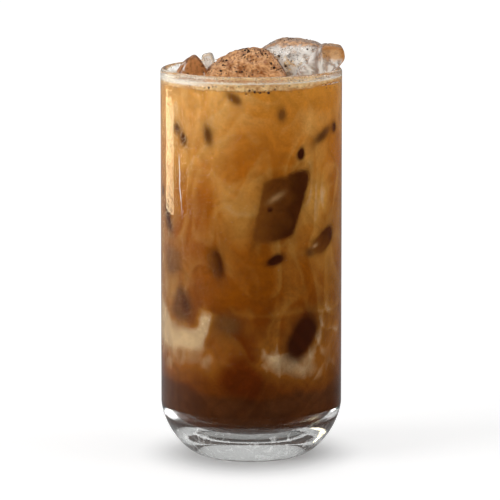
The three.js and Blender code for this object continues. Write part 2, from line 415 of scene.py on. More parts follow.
def milk_at(points):
    """Share of milk at points on the drink, about 0 to 1, and more in cream"""
    stretched = points * (1, 1, 0.62)
    moved = stretched + 9 * drift_at(stretched, 26, 3) + 2.4 * drift_at(stretched, 8, 11)
    clouds = noise_at(moved, 24, 5, octaves=4)
    folds = folded(noise_at(moved, 22, 17) * 3)
    veins = np.clip(1 - 7 * np.abs(noise_at(moved, 13, 36.4)), 0, 1)
    threads = noise_at(moved * (1.6, 1.6, 0.8), 6, 31, octaves=4)
    stirred = 0.52 * clouds + 0.46 * (folds - 0.4) + 0.2 * veins + 0.16 * threads
    milk = MILK_SHARE + stirred * (0.3 + 0.7 * smooth(points[:, 2], *STILL_BELOW))
    sway = drift_at(points, 9, 41) * 1.4 + drift_at(points, 3.5, 43) * 0.4
    angles, heights = on_wall(points)
    angles = angles + sway[:, 0] / ARC
    heights = heights + sway[:, 2]
    for *cloud, amount in MILK_CLOUDS:
        milk += amount * cloud_share(angles, heights, *cloud)
    for *veil, amount in MILK_VEILS:
        milk += amount * veil_share(angles, heights, *veil)
    return milk


# Ice sunk in the drink shows dark where it touches the wall: angle, height, width, height of the
# window, lean to the right, squareness, how much wider its top is than its foot, softness and tone
SUNK_ICE = [
    (20.2, 103.4, 17.5, 25, 15, 6, 0.12, 0.1, "deep"),
    (55.5, 88.8, 14.5, 7.6, -33, 2.4, 0.1, 0.2, "deep"),
    (35.6, 51.4, 11.5, 21, 34, 2.4, 0.12, 0.34, "darkest"),
    (-23.5, 81.3, 5.6, 12, -12, 2.2, 0, 0.35, "deep"),
    (15.8, 82.8, 4, 7.4, 68, 2, 0.2, 0.35, "darkest"),
    (34.4, 124.2, 3.4, 5.4, 12, 2, -0.2, 0.35, "darkest"),
    (-53, 64, 9, 12, -4, 2, -0.4, 0.6, "grey"),
    (-51.5, 64, 6, 8.5, -4, 2, -0.4, 0.5, "deep"),
    (-15.5, 57.2, 9.5, 7.5, 20, 2.2, 0, 0.55, "grey"),
    (-63, 80, 11, 10, 0, 3, 0, 0.3, "brown"),
    (-69, 96, 5, 11, -25, 2, 0, 0.5, "deep"),
    (-80, 107, 3, 4, 0, 2, 0, 0.5, "grey"),
    (-50.5, 129.3, 3.6, 5.4, -20, 2, 0, 0.5, "deep"),
    (-57, 133, 4, 5, -40, 2, 0, 0.7, "grey"),
    (-29.4, 131.5, 3.6, 8, -12, 2, 0, 0.7, "grey"),
    (-11.3, 146.5, 6.5, 3.4, 36, 2, 0, 0.5, "brown"),
    (20.4, 139.9, 3.4, 5, 0, 2, 0, 0.6, "brown"),
    (68, 132.9, 3.6, 4, 0, 2, 0, 0.5, "deep"),
    (54, 130.6, 3.8, 12, 62, 2, 0, 0.7, "grey"),
    (42, 85, 3.6, 3, 0, 2, 0, 0.7, "grey"),
    (12.3, 102.8, 1.9, 1.4, 10, 2, 0, 0.4, "darkest"),
    # The two entries in the pale tone are painted highlights, pale spots by the windows, each with a
    # small block behind it
    (16.5, 107.6, 5.5, 1.8, -30, 2, 0, 0.9, "pale"),
    (46.5, 87.4, 2.6, 1.3, -20, 2, 0, 0.6, "pale"),
    (112, 96, 17, 14, 24, 3.4, 0.1, 0.12, "deep"),
    (-118, 112, 14, 18, -15, 3.6, -0.1, 0.1, "deep"),
    (163, 122, 18, 16, 8, 4, 0.1, 0.1, "deep"),
    (-152, 66, 12, 19, 30, 2.6, 0, 0.16, "darkest"),
    (138, 62, 10, 13, -22, 2.4, 0, 0.2, "darkest"),
    (-98, 76, 5, 8, 14, 2, 0, 0.4, "deep"),
    (-172, 92, 5, 8, -50, 2, 0, 0.35, "darkest"),
    (146, 96, 4, 6, 30, 2, 0, 0.4, "brown"),
    (-136, 138, 5, 4, 0, 2, 0, 0.5, "brown"),
    (118, 134, 4, 6, 12, 2, 0, 0.5, "grey"),
]
ICE_TONES = {
    "darkest": (57, 21, 3),
    "deep": (70, 31, 3),
    "brown": (122, 76, 28),
    "grey": (100, 62, 24),
    # The pale tone paints highlights
    "pale": (158, 118, 74),
}
# Tone of the painted sheen on deep windows
PAINTED_SHEEN = (112, 64, 16)
# Share of painted shade in the soft halo round each window
HALO_SHADE = 0.55
BLOCK_WIDTH = 16
BLOCK_SLANT = 0.19


def window_axes(ice):
    """Directions across and up a window, as shares of angle round the wall and of height"""
    tilt = math.radians(ice[4])
    across = math.cos(tilt), -math.sin(tilt)
    up = (-BLOCK_SLANT, 1) if ice[2] > BLOCK_WIDTH else (math.sin(tilt), math.cos(tilt))
    return np.array([across, up])


def window_place(angles, heights, ice):
    """Where points lie in one window, 1 at its edge, and how far across and up they are"""
    angle, height, width, tall, lean, power, taper = ice[:7]
    spots = np.stack([turned_past(angles, angle) * ARC, heights - height])
    along, above = window_axes(ice) @ spots
    above = above / (tall / 2)
    along = along / (width / 2) / np.clip(1 + taper * above, 0.2, 2)
    return (np.abs(along) ** power + np.abs(above) ** power) ** (1 / power), along, above


def tea_colours(points):
    """Colours of the drink as light, for points in millimetres on its skin"""
    milk = milk_at(points)
    angles, heights = on_wall(points)
    colours = blended(tone_at(heights, AMBER_TEA), tone_at(heights, MILKY_TEA), milk)
    colours = blended(colours, linear(CREAM)[None, :], (milk - 1) * 1.4)
    wobble = 2.2 * noise_at(points, 11, 53, octaves=3)
    rise = SETTLED_RISE * (1 - np.cos(np.radians(angles * 2)))
    settled = smooth(SETTLED_TOP + rise + wobble - heights, -1, 3)
    low = blended(linear(SETTLED_TEA)[None, :], linear(SETTLED_MILKY)[None, :], milk * 1.1 - 0.2)
    colours = blended(colours, low, settled * 0.85)
    rough = noise_at(points, 5, 61, octaves=2) * 0.06
    for ice in SUNK_ICE:
        place, along, above = window_place(angles, heights, ice)
        softness, tone = ice[7:]
        place = place + rough
        tint = linear(ICE_TONES[tone])
        inside = 1 - smooth(place, 1 - softness, 1 + softness)
        # Painted shade: the drink darkens in a soft halo round each window
        shade_halo = HALO_SHADE * (1 - smooth(place, 1, 1.3 + 1.5 * softness)) * (1 - inside)
        # Painted sheen: deep windows are lighter toward their lower left
        sheen_share = np.clip(0.42 - 0.75 * along - 0.12 * above + 5 * rough, 0, 1) * (tone == "deep")
        face = blended(tint[None, :], linear(PAINTED_SHEEN)[None, :], sheen_share)
        colours = blended(colours, face, inside)
        colours = blended(colours, colours * 0.55 + tint * 0.35, shade_halo)
    return colours


def painted(piece, colours, name="tint"):
    """Keeps a colour, or a colour and one more value, for each point of a piece"""
    layer = piece.data.color_attributes.new(name, "FLOAT_COLOR", "POINT")
    full = np.ones((len(colours), 4), dtype=np.float32)
    full[:, : colours.shape[1]] = colours
    layer.data.foreach_set("color", full.ravel())


def points_of(piece):
    """Points of a finished piece, in millimetres"""
    flat = np.zeros(len(piece.data.vertices) * 3)
    piece.data.vertices.foreach_get("co", flat)
    return flat.reshape(-1, 3) / MM


def drink_profile():
    floor = BASE_THICKNESS + FLOOR_CLEAR
    inner = INNER_RADIUS - FLOOR_CORNER
    profile = [(inner * i / 6, floor) for i in range(6)]
    for i in range(CORNER_STEPS + 1):
        slope = 90 * i / CORNER_STEPS
        touching = float(smooth(np.array(slope), *TOUCH_SLOPE))
        reach = FLOOR_CORNER + INTO_WALL * touching - FLOOR_CLEAR * (1 - touching)
        turn = math.radians(slope)
        centre = BASE_THICKNESS + FLOOR_CORNER
        profile.append((inner + reach * math.sin(turn), centre - reach * math.cos(turn)))
    top = DRINK_LEVEL + UNDER_FOAM
    wall_foot = profile[-1][1]
    rings = round((top - wall_foot) / DRINK_STEP)
    profile += [(DRINK_RADIUS, wall_foot + (top - wall_foot) * i / rings) for i in range(1, rings + 1)]
    profile += [(DRINK_RADIUS * i / 6, top) for i in range(5, -1, -1)]
    return profile


def tea_look(name):
    """Cloudy liquid against glass: its colours lie in the mesh, with fine specks of milk in them"""
    look = new_look(name)
    shader = shader_of(look)
    tint = add_node(look, "ShaderNodeVertexColor")
    tint.layer_name = "tint"
    curls = eased(look, grain(look, 11, detail=9, distortion=2.2), 0.3, 0.7, 0.88, 1.12)
    specks = product(look, curls, eased(look, grain(look, 0.7, detail=3), 0.3, 0.7, 0.92, 1.08))
    scaled = add_node(look, "ShaderNodeVectorMath")
    scaled.operation = "SCALE"
    wire(look, tint.outputs["Color"], scaled.inputs[0])
    wire(look, specks, scaled.inputs["Scale"])
    wire(look, scaled.outputs["Vector"], shader.inputs["Base Color"])
    shader.inputs["Roughness"].default_value = 0.6
    shader.inputs["Specular IOR Level"].default_value = 0
    return look


TEA = tea_look("milky_tea")
drink_steps = round(math.tau * DRINK_RADIUS / DRINK_STEP)
drink = finished(turned(drink_profile(), drink_steps), "drink_tea", TEA, ["drink"])
painted(drink, tea_colours(points_of(drink)))

# Sunk ice: pieces of tray ice held under the foam, melted round, that press against the glass.
# Only the side that touches the wall shows, dark with the tea behind it.
ICE_SKIN = 0.03
SUNK_DEPTH = 0.9
SUNK_SETTING = 0.3


def sunk_block(form, ice):
    """One block of ice behind its window, flattened against the wall"""
    angle, height, width, tall, lean, power, taper = ice[:7]
    depth = SUNK_DEPTH * min(max(width, tall), 22)
    detail = 5 if width > 9 else 4
    made = bmesh.ops.create_icosphere(form, subdivisions=detail, radius=1)
    to_wall = np.linalg.inv(window_axes(ice))
    for vert in made["verts"]:
        x, y, z = vert.co
        reach = (abs(x) ** power + abs(y) ** power + abs(z) ** power) ** (-1 / power)
        above = z * reach
        along = x * reach * (1 + taper * above)
        across, up = to_wall @ (along * width / 2, above * tall / 2)
        radius = DRINK_RADIUS - depth * (SUNK_SETTING / 2 - y * reach * 0.5)
        radius = min(radius, DRINK_RADIUS + ICE_SKIN)
        turn = math.radians(angle) + across / DRINK_RADIUS
        vert.co = (max(radius, 2) * math.sin(turn), -max(radius, 2) * math.cos(turn), height + up)


sunk = bmesh.new()
for block in SUNK_ICE:
    sunk_block(sunk, block)
bmesh.ops.recalc_face_normals(sunk, faces=sunk.faces[:])
sunk_ice = finished(sunk, "sunk_ice", tea_look("sunk_ice_in_tea"))
painted(sunk_ice, tea_colours(points_of(sunk_ice)))

# Foam: milk froth in a thin layer on the drink, drawn up the wall by the glass.
# It is a skin of small bubbles, stained by the tea, and its ragged lower edge shows through the wall.
FOAM_LEVEL = 150.6
FOAM_CLIMB = 1.6
FOAM_CLIMB_WIDTH = 2.6
FOAM_WAVE = 0.12
GAP = 0.3
FOAM_RADIUS = DRINK_RADIUS + 0.07
FOAM_FOOT = 149
FOAM_STEPS = 360
BUBBLE = 1.3
FOAM_TONES = [(200, 136, 70), (255, 220, 158)]
# White of froth, and of the painted highlight along the foam's top at the wall
FROTH_AND_HIGHLIGHT_WHITE = (255, 246, 230)
FROTH_ANGLE = -75


def foam_height(x, y):
    radius = np.hypot(x, y)
    wave = FOAM_WAVE * (np.sin(x * 0.45 + 1.3) + np.cos(y * 0.52 - 0.4)) * 0.5
    climb = np.clip((radius - INNER_RADIUS + GAP + FOAM_CLIMB_WIDTH) / FOAM_CLIMB_WIDTH, 0, 1)
    return FOAM_LEVEL + wave + FOAM_CLIMB * climb**1.5


def bubble_at(point, size):
    """Height of the bubble under a point, 0 between bubbles and 1 on top of one"""
    near = noise.voronoi(Vector(point) / size)[0][0]
    return math.sqrt(max(0, 1 - (near / 0.6) ** 2))


def foam_foot(angle):
    """Height of the foam's lower edge on the wall"""
    turn = math.radians(angle)
    spot = Vector((math.sin(turn), -math.cos(turn), 0))
    ragged = noise.fractal(spot * 5, 1, 2, 3) * 0.5 + noise.noise(spot * 32) * 0.25
    lifted = float(smooth(np.array([angle]), 28, 62)[0]) * 1.7
    return FOAM_FOOT + ragged + lifted * (angle < 120)


def foam_form():
    top = float(foam_height(DRINK_RADIUS, 0)) + 0.15
    skirt = 10
    profile = [(0, FOAM_FOOT + 0.4), (INNER_RADIUS - 1, FOAM_FOOT + 0.4)]
    profile += [(FOAM_RADIUS, FOAM_FOOT + (top - FOAM_FOOT) * i / skirt) for i in range(skirt + 1)]
    rings = 60
    profile += [((INNER_RADIUS - 0.05) * (1 - i / rings), FOAM_LEVEL) for i in range(rings + 1)]
    form = turned(profile, FOAM_STEPS)
    for vert in form.verts:
        x, y, z = vert.co
        radius = math.hypot(x, y)
        if radius > FOAM_RADIUS - 0.01:
            foot = foam_foot(math.degrees(math.atan2(x, -y)))
            vert.co.z = foot + (z - FOAM_FOOT) / (top - FOAM_FOOT) * (top - foot)
        elif z > FOAM_LEVEL - 0.01:
            froth = 0.22 * bubble_at(vert.co, BUBBLE) + 0.1 * bubble_at(vert.co, BUBBLE / 2.3)
            vert.co.z = float(foam_height(x, y)) + froth
    return form


def foam_colours(points):
    dark, pale = linear(FOAM_TONES)
    angles, heights = on_wall(points)
    stain = noise_at(points, 4, 71, octaves=3) * 0.7 + noise_at(points, 0.9, 73) * 0.8 + 0.6
    colours = blended(dark[None, :], pale[None, :], stain)
    froth = smooth(np.abs(turned_past(angles, FROTH_ANGLE)), 58, 26) * smooth(heights, 150.4, 150.9)
    colours = blended(colours, linear(FROTH_AND_HIGHLIGHT_WHITE)[None, :], froth)
    outer = np.hypot(points[:, 0], points[:, 1]) > FOAM_RADIUS - 0.01
    foot = np.array([foam_foot(angle) if edge else 0 for angle, edge in zip(angles, outer)])
    up_the_wall = smooth(heights - foot, 0, 0.9)[outer]
    colours[outer] = blended(tea_colours(points[outer]), colours[outer], up_the_wall)
    # Whiter at the wall near the top: white froth climbing the glass, with a painted highlight along it
    by_wall = np.hypot(points[:, 0], points[:, 1]) > INNER_RADIUS - 0.7
    return blended(colours, linear(FROTH_AND_HIGHLIGHT_WHITE)[None, :], smooth(heights, 151.7, 152.2) * by_wall)


def foam_look():
    look = new_look("foam")
    shader = shader_of(look)
    tint = add_node(look, "ShaderNodeVertexColor")
    tint.layer_name = "tint"
    place = add_node(look, "ShaderNodeTexCoord")
    bubbles = add_node(look, "ShaderNodeTexVoronoi", Scale=1 / (0.55 * MM))
    wire(look, place.outputs["Object"], bubbles.inputs["Vector"])
    # Painted shade: the foam is lighter on its bubbles and darker between them
    shaded_rim = eased(look, bubbles.outputs["Distance"], 0.15, 0.6, 1.06, 0.8)
    scaled = add_node(look, "ShaderNodeVectorMath")
    scaled.operation = "SCALE"
    wire(look, tint.outputs["Color"], scaled.inputs[0])
    wire(look, shaded_rim, scaled.inputs["Scale"])
    wire(look, scaled.outputs["Vector"], shader.inputs["Base Color"])
    shader.inputs["Roughness"].default_value = 0.45
    shader.inputs["Specular IOR Level"].default_value = 0.3
    relief(look, bubbles.outputs["Distance"], 0.12)
    return look


foam = finished(foam_form(), "foam_layer", foam_look(), ["foam"])
painted(foam, foam_colours(points_of(foam)))

# Ice that stands out: five pieces of wet tray ice, melted round, jammed in the mouth of the glass.
# Two are coated with foam and tea, and three are clear with cloudy hearts and painted shade along their
# edges.
# Each is a block held between faces, given as azimuth, elevation and distance from its centre.
ICE_EDGE = 9
ICE_MELT = 0.35
ICE_WAVE = 9
ICE_CUTS = 42
SMOOTH_SKIN = 0.05
CRUSTED_SKIN = 0.4
ICE = {
    "ice_left": ((-21.5, -3, 148.5), [
        (176, 38, 9.7), (170, 67, 11.6), (4, 33, 6.6), (-86, 14, 8.2), (94, 10, 7.6), (180, -4, 8.8),
        (-140, 0, 10.4), (0, -35, 6.6), (0, -90, 9.5)]),
    "ice_back_left": ((-17, 12, 152), [
        (184, 4, 2.9), (-4, 14, 3.1), (-96, 6, 5.2), (84, 8, 5), (160, 80, 7.1), (0, -90, 7)]),
    "ice_middle": ((-3, -7, 151), [
        (182, 54, 11.4), (80, 86, 12.5), (-6, 34, 14.5), (-86, 35, 10.9), (-92, -12, 12.6), (86, 8, 10),
        (178, -8, 14.6), (0, -90, 12)]),
    "ice_peak": ((15, 5, 154), [
        (172, 56, 12.5), (0, 82, 12.2), (-8, 6, 14.4), (-97, 17, 10.2), (82, 10, 9.2), (38, 0, 14),
        (174, -10, 12), (0, -90, 13)]),
    "ice_right": ((28, -2, 154.4), [
        (180, 42, 6.9), (0, 88, 10), (0, 12, 9.9), (0, -42, 3.9), (-90, 10, 7), (90, 10, 7),
        (180, -48, 12)]),
}
ICE_ORDER = ["ice_left", "ice_right", "ice_back_left", "ice_middle", "ice_peak"]


def face_normals(faces):
    azimuth = np.radians([face[0] for face in faces])
    elevation = np.radians([face[1] for face in faces])
    level = np.cos(elevation)
    return np.stack([np.cos(azimuth) * level, np.sin(azimuth) * level, np.sin(elevation)], axis=1)


def ice_reach(name, directions):
    """Distance from a block's centre to its skin, and how near each spot is to an edge, 0 to 1"""
    centre, faces = ICE[name]
    distances = np.array([face[2] for face in faces])
    facing = np.maximum(directions @ face_normals(faces).T, 0) / distances
    reach = (facing**ICE_EDGE).sum(axis=1) ** (-1 / ICE_EDGE)
    x, y, z = (directions * (reach / ICE_WAVE * math.pi)[:, None]).T
    wave = np.sin(x + centre[0]) * np.cos(y * 1.2) + np.sin(z * 1.1 + centre[1]) * 0.6
    ranked = np.sort(facing, axis=1)
    return reach + ICE_MELT * wave, ranked[:, -2] / ranked[:, -1]


def kept_out_of_ice(points, name):
    """Points that lay in another block, moved out to just clear of its skin"""
    offset = points - np.array(ICE[name][0])
    distance = np.linalg.norm(offset, axis=1)
    directions = offset / distance[:, None]
    reach = ice_reach(name, directions)[0] + GAP
    return np.where((distance < reach)[:, None], ICE[name][0] + directions * reach[:, None], points)


def kept_off_glass(points):
    """Points that lay in the wall or its lip, moved inward or out round the lip"""
    radius = np.hypot(points[:, 0], points[:, 1])
    lip_radius, lip_height = GLASS_RADIUS - WALL / 2, GLASS_HEIGHT - WALL / 2
    clear = WALL / 2 + GAP
    out, up = radius - lip_radius, points[:, 2] - lip_height
    distance = np.maximum(np.hypot(out, up), 1e-6)
    by_lip = (distance < clear) & (up > 0)
    by_wall = (up <= 0) & (out > -clear)
    new_radius = np.where(by_lip, lip_radius + out / distance * clear, radius)
    new_radius = np.where(by_wall, lip_radius - clear, new_radius)
    new_height = np.where(by_lip, lip_height + up / distance * clear, points[:, 2])
    share = (new_radius / np.maximum(radius, 1e-6))[:, None]
    return np.concatenate([points[:, :2] * share, new_height[:, None]], axis=1)


def ice_form(name, rough):
    """A block of ice with waves from melting, and the edge share of each of its points"""
    form = bmesh.new()
    bmesh.ops.create_cube(form, size=2)
    bmesh.ops.subdivide_edges(form, edges=form.edges[:], cuts=ICE_CUTS, use_grid_fill=True)
    corners = np.array([vert.co for vert in form.verts])
    directions = np.tan(corners * math.pi / 4)
    directions /= np.linalg.norm(directions, axis=1)[:, None]
    reach, edges = ice_reach(name, directions)
    spots = directions * reach[:, None] + ICE[name][0]
    melt = (0.22 + rough) * noise_at(spots, 3.4, 83, octaves=2)
    melt += rough * noise_at(spots, 1.3, 89, octaves=3)
    spots = directions * (reach + melt)[:, None] + ICE[name][0]
    for other in ICE_ORDER[: ICE_ORDER.index(name)]:
        spots = kept_out_of_ice(spots, other)
    spots = kept_off_glass(spots)
    for vert, spot in zip(form.verts, spots):
        vert.co = spot
    bmesh.ops.recalc_face_normals(form, faces=form.faces[:])
    return form, edges


# Tones of the ice: painted shade along edges, with stains of tea, a coat of foam and spice, tea seen
# through a piece, the cloudy white heart of clear ice, which also whitens painted glints, and tan for a
# painted reflection and edge shade
CLEAR_TINT = (252, 247, 240)
CLOUDY_AND_GLINT = (255, 252, 246)
SWIRL_LINE = (190, 146, 100)
EDGE_SHADE_AND_STAIN = (118, 72, 34)
PALE_EDGE = (230, 200, 160)
COAT = [(146, 86, 40), (236, 178, 122)]
RIDGE_COAT = (132, 84, 42)
TEA_BEHIND = (200, 134, 78)
TAN_REFLECTION_AND_STREAKS = (202, 146, 80)
TAN_EDGE_SHADE = (170, 108, 46)

# Painted highlights: pale glints on the left piece, each at an x and a height, with its half width and
# half height
PAINTED_GLINTS = [(-26.2, 156.4, 0.45, 1.6), (-18.4, 153.3, 0.4, 0.9)]


def coated(points, colours, clear, share):
    """Foam and tea laid over ice where share is high"""
    dark, pale = linear(COAT)
    stain = noise_at(points, 2.6, 97, octaves=3) * 0.6 + 0.5
    stain += noise_at(points, 0.8, 99, octaves=2) * 0.7
    coat = blended(dark[None, :], pale[None, :], stain)
    return blended(colours, coat, share), clear * (1 - np.clip(share, 0, 1))


def ice_colours(name, points, edges):
    count = len(points)
    x, y, z = points.T
    swirl = noise_at(points + 2.2 * drift_at(points, 3, 101), 2.6, 103, octaves=3)
    colours = np.repeat(linear(CLEAR_TINT)[None, :], count, axis=0)
    clear = np.full(count, 0.92)
    fold = np.abs(noise_at(points + 2.6 * drift_at(points, 2.4, 105), 2, 107, octaves=3))
    lines = 1 - smooth(fold, 0.02, 0.13)
    cloudy = smooth(swirl, -0.2, 0.2) * 0.85
    colours = blended(colours, linear(SWIRL_LINE)[None, :], lines * 0.6)
    colours = blended(colours, linear(CLOUDY_AND_GLINT)[None, :], cloudy)
    clear = clear - 0.72 * cloudy - 0.35 * lines * (1 - cloudy)
    along_edge = smooth(edges, 0.86, 0.99)
    if name == "ice_left":
        colours[:] = linear(TEA_BEHIND)
        clear[:] = 0.25
        stain = noise_at(points, 1.1, 111, octaves=3) * 0.9
        # Painted shade along the edges, with random stains of tea
        colours = blended(colours, linear(EDGE_SHADE_AND_STAIN)[None, :], along_edge * 0.8 + stain)
        # Painted highlights: pale glints in the colour of the left piece
        for glint_x, glint_z, width, tall in PAINTED_GLINTS:
            away = ((x - glint_x + 1.5 * swirl) / width) ** 2 + ((z - glint_z) / tall) ** 2
            colours = blended(colours, linear(CLOUDY_AND_GLINT)[None, :], np.exp(-(away**2)) * 0.85)
    elif name == "ice_middle":
        colours, clear = coated(points, colours, clear, np.full(count, 1.0))
    elif name == "ice_peak":
        # Painted shade along the edges
        colours = blended(colours, linear(EDGE_SHADE_AND_STAIN)[None, :], along_edge * 0.75)
        clear = clear * (1 - 0.5 * along_edge)
        left = smooth(6.5 + 1.1 * np.maximum(157 - z, 0) + 2 * swirl - x, 0, 1.8)
        colours, clear = coated(points, colours, clear, left)
        ridge = smooth(z + 2.4 * swirl, 163.2, 164.4) * 0.85
        stain = noise_at(points, 1, 113, octaves=3) * 1.2 + 0.4
        coat = blended(linear(RIDGE_COAT)[None, :], linear(COAT[1])[None, :], stain)
        colours = blended(colours, coat, ridge)
        clear = clear * (1 - ridge)
    elif name == "ice_right":
        # Painted reflection of the drink: the top is tan, with tan streaks on its right side
        tan = smooth(z + 0.8 * swirl, 157.5, 160)
        streaks = smooth(noise_at(points * (1, 1, 0.4), 3, 109, octaves=2), 0, 0.3) * (x > 27)
        tan = np.maximum(tan, streaks * 0.8)
        colours = blended(colours, linear(TAN_REFLECTION_AND_STREAKS)[None, :], tan * 0.9)
        clear = clear * (1 - 0.4 * tan)
        # Painted shade in tan along the edges
        shaded_rim = smooth(edges + 0.1 * swirl, 0.76, 0.95)
        colours = blended(colours, linear(TAN_EDGE_SHADE)[None, :], shaded_rim * 0.85)
        clear = clear * (1 - 0.45 * shaded_rim)
    else:
        colours = blended(colours, linear(PALE_EDGE)[None, :], along_edge * 0.7)
    return np.concatenate([colours, clear[:, None]], axis=1)


def ice_look(name, rough):
    """Wet ice: clear where its points are kept clear, and stained or coated elsewhere"""
    look = new_look(name)
    shader = shader_of(look)
    tint = add_node(look, "ShaderNodeVertexColor")
    tint.layer_name = "tint"
    wire(look, tint.outputs["Color"], shader.inputs["Base Color"])
    wire(look, tint.outputs["Alpha"], shader.inputs["Transmission Weight"])
    wire(look, eased(look, tint.outputs["Alpha"], 0, 0.8, rough, 0.04), shader.inputs["Roughness"])
    shader.inputs["IOR"].default_value = 1.31
    shader.inputs["Coat Weight"].default_value = 0.5
    shader.inputs["Coat Roughness"].default_value = 0.05
    relief(look, grain(look, 1.1, detail=3), 0.16)
    lets_light_through(look, tint.outputs["Alpha"])
    return look


WET_ICE = ice_look("clear_ice", 0.3)
COATED_ICE = ice_look("tea_coated_ice", 0.42)
for ice_name in ICE_ORDER:
    is_coated = ice_name in ("ice_left", "ice_middle")
    skin = CRUSTED_SKIN if ice_name == "ice_middle" else SMOOTH_SKIN
    block_form, edge_share = ice_form(ice_name, skin)
    block = finished(
        block_form, ice_name + "_piece", COATED_ICE if is_coated else WET_ICE,
        [ice_name],
    )
    painted(block, ice_colours(ice_name, points_of(block), edge_share))

# Spice: cinnamon, clove and pepper ground coarse and dusted over the ice and the foam.
# The coarse grains lie where the solids have them, and finer ones are strewn between them.
SPECK_RADIUS = (0.42, 0.72)
SPECK_SINK = 0.25
ICE_GRAINS = {"ice_left": 3, "ice_back_left": 0, "ice_middle": 30, "ice_peak": 10, "ice_right": 2}
GRAIN_AZIMUTH = (-155, -10)
GRAIN_ELEVATION = (8, 78)
GRAIN_CLEARANCE = 2
FOAM_GRAINS = 44
FOAM_GRAIN_RING = (14, 31.9)
OPEN_HALF_WIDTH = 13
OPEN_BACK = -19
OPEN_FRONT = 30.9
FINE_RADIUS = (0.16, 0.34)
FINE_ON_ICE = {"ice_left": 30, "ice_back_left": 4, "ice_middle": 520, "ice_peak": 170, "ice_right": 16}
FINE_RISE = (0.17, 0.999)
FINE_ON_FOAM = 160
EDGE_SPECKS = 170
EDGE_SPECK_HEIGHTS = (148.3, 151.4)
EDGE_SPECK_RADIUS = (0.16, 0.36)
WALL_SPECKS = [(-6.7, 152), (-15.6, 151), (-23.5, 150.8), (-3.4, 148.4), (-1.1, 149.6), (2.2, 149.2),
               (5.7, 148.8), (11.3, 148.7), (15.6, 150), (-28.6, 150.3), (-43.8, 150.5), (8.4, 149.1)]
WALL_SPECK_RADIUS = (0.4, 0.75)
SPICE_TONES = [(22, 12, 8), (92, 52, 26)]


def seeded(seed):
    """Random numbers between 0 and 1 that come out the same on every run"""
    state = seed
    while True:
        state = (state * 1664525 + 1013904223) % 4294967296
        yield state / 4294967296


def between(ends, share):
    return ends[0] + (ends[1] - ends[0]) * share


def ice_spot(name, azimuth, elevation, outward):
    direction = face_normals([(azimuth, elevation)])
    reach = ice_reach(name, direction)[0][0] + outward
    return Vector(direction[0] * reach) + Vector(ICE[name][0])


def speck(form, spot, radii, random):
    radius = between(radii, next(random))
    made = bmesh.ops.create_icosphere(form, subdivisions=1, radius=radius)
    flat = 0.6 + 0.5 * next(random)
    bmesh.ops.scale(form, vec=(1, flat, 0.8), verts=made["verts"])
    for axis in "XZ":
        turn = Matrix.Rotation(next(random) * math.pi, 3, axis)
        bmesh.ops.rotate(form, cent=(0, 0, 0), matrix=turn, verts=made["verts"])
    bmesh.ops.translate(form, vec=spot, verts=made["verts"])


def on_open_front(x, y):
    return abs(x) < OPEN_HALF_WIDTH and y < OPEN_BACK and math.hypot(x, y) < OPEN_FRONT


def foam_spot(x, y, sink):
    return Vector((x, y, float(foam_height(x, y)) - sink))


def wall_spot(angle, height, radius):
    turn = math.radians(angle)
    return Vector((radius * math.sin(turn), -radius * math.cos(turn), height))


grains = bmesh.new()
for ice_name, count in ICE_GRAINS.items():
    draw = seeded(11 + len(ice_name) * 7)
    for _ in range(count):
        azimuth = between(GRAIN_AZIMUTH, next(draw))
        elevation = between(GRAIN_ELEVATION, next(draw))
        spot = ice_spot(ice_name, azimuth, elevation, -SPECK_SINK)
        if spot.z > FOAM_LEVEL + GRAIN_CLEARANCE:
            speck(grains, spot, SPECK_RADIUS, draw)
draw = seeded(5)
for _ in range(FOAM_GRAINS):
    turn = next(draw) * math.tau
    radius = between(FOAM_GRAIN_RING, math.sqrt(next(draw)))
    x, y = radius * math.cos(turn), radius * math.sin(turn)
    if on_open_front(x, y):
        for _ in range(4):
            next(draw)
    else:
        speck(grains, foam_spot(x, y, SPECK_SINK), SPECK_RADIUS, draw)
draw = seeded(23)
for ice_name, count in FINE_ON_ICE.items():
    for _ in range(count):
        azimuth = between((-180, 180), next(draw))
        elevation = math.degrees(math.asin(between(FINE_RISE, next(draw))))
        spot = ice_spot(ice_name, azimuth, elevation, -0.02)
        if spot.z > FOAM_LEVEL + 1:
            speck(grains, spot, FINE_RADIUS, draw)
for _ in range(FINE_ON_FOAM):
    turn = next(draw) * math.tau
    radius = between((8, INNER_RADIUS - 0.6), math.sqrt(next(draw)))
    spot = foam_spot(radius * math.cos(turn), radius * math.sin(turn), -0.1)
    speck(grains, spot, FINE_RADIUS, draw)
for angle, height in WALL_SPECKS:
    speck(grains, wall_spot(angle, height, FOAM_RADIUS - 0.2), WALL_SPECK_RADIUS, draw)
for _ in range(EDGE_SPECKS):
    angle = between((-180, 180), next(draw))
    height = between(EDGE_SPECK_HEIGHTS, next(draw))
    speck(grains, wall_spot(angle, height, FOAM_RADIUS - 0.05), EDGE_SPECK_RADIUS, draw)


def spice_look():
    look = new_look("ground_spice")
    shader = shader_of(look)
    dark, brown = linear(SPICE_TONES)
    ramp = add_node(look, "ShaderNodeMix")
    ramp.data_type = "RGBA"
    ramp.inputs["A"].default_value = (*dark, 1)
    ramp.inputs["B"].default_value = (*brown, 1)
    wire(look, eased(look, grain(look, 1.6), 0.4, 0.7), ramp.inputs["Factor"])
    wire(look, ramp.outputs["Result"], shader.inputs["Base Color"])
    shader.inputs["Roughness"].default_value = 0.7
    relief(look, grain(look, 0.3), 0.05)
    return look


finished(grains, "ground_spice", spice_look())

# Dew: one drop of cold dew that has run down the outside of the glass and left a thin wet trail.
# It is water that clings to the wall, thick at its head and uneven below, and half white as a painted
# highlight.
TRAIL = [(-51.9, 123.6), (-51.6, 119.5), (-51, 115.5), (-51.3, 111),
         (-50.2, 107), (-49.4, 102.5), (-48.2, 97.5)]
TRAIL_WIDTH = 0.6
TRAIL_THICKNESS = 0.34
DROP_WIDTH = 1.8
DROP_LENGTH = 0.16


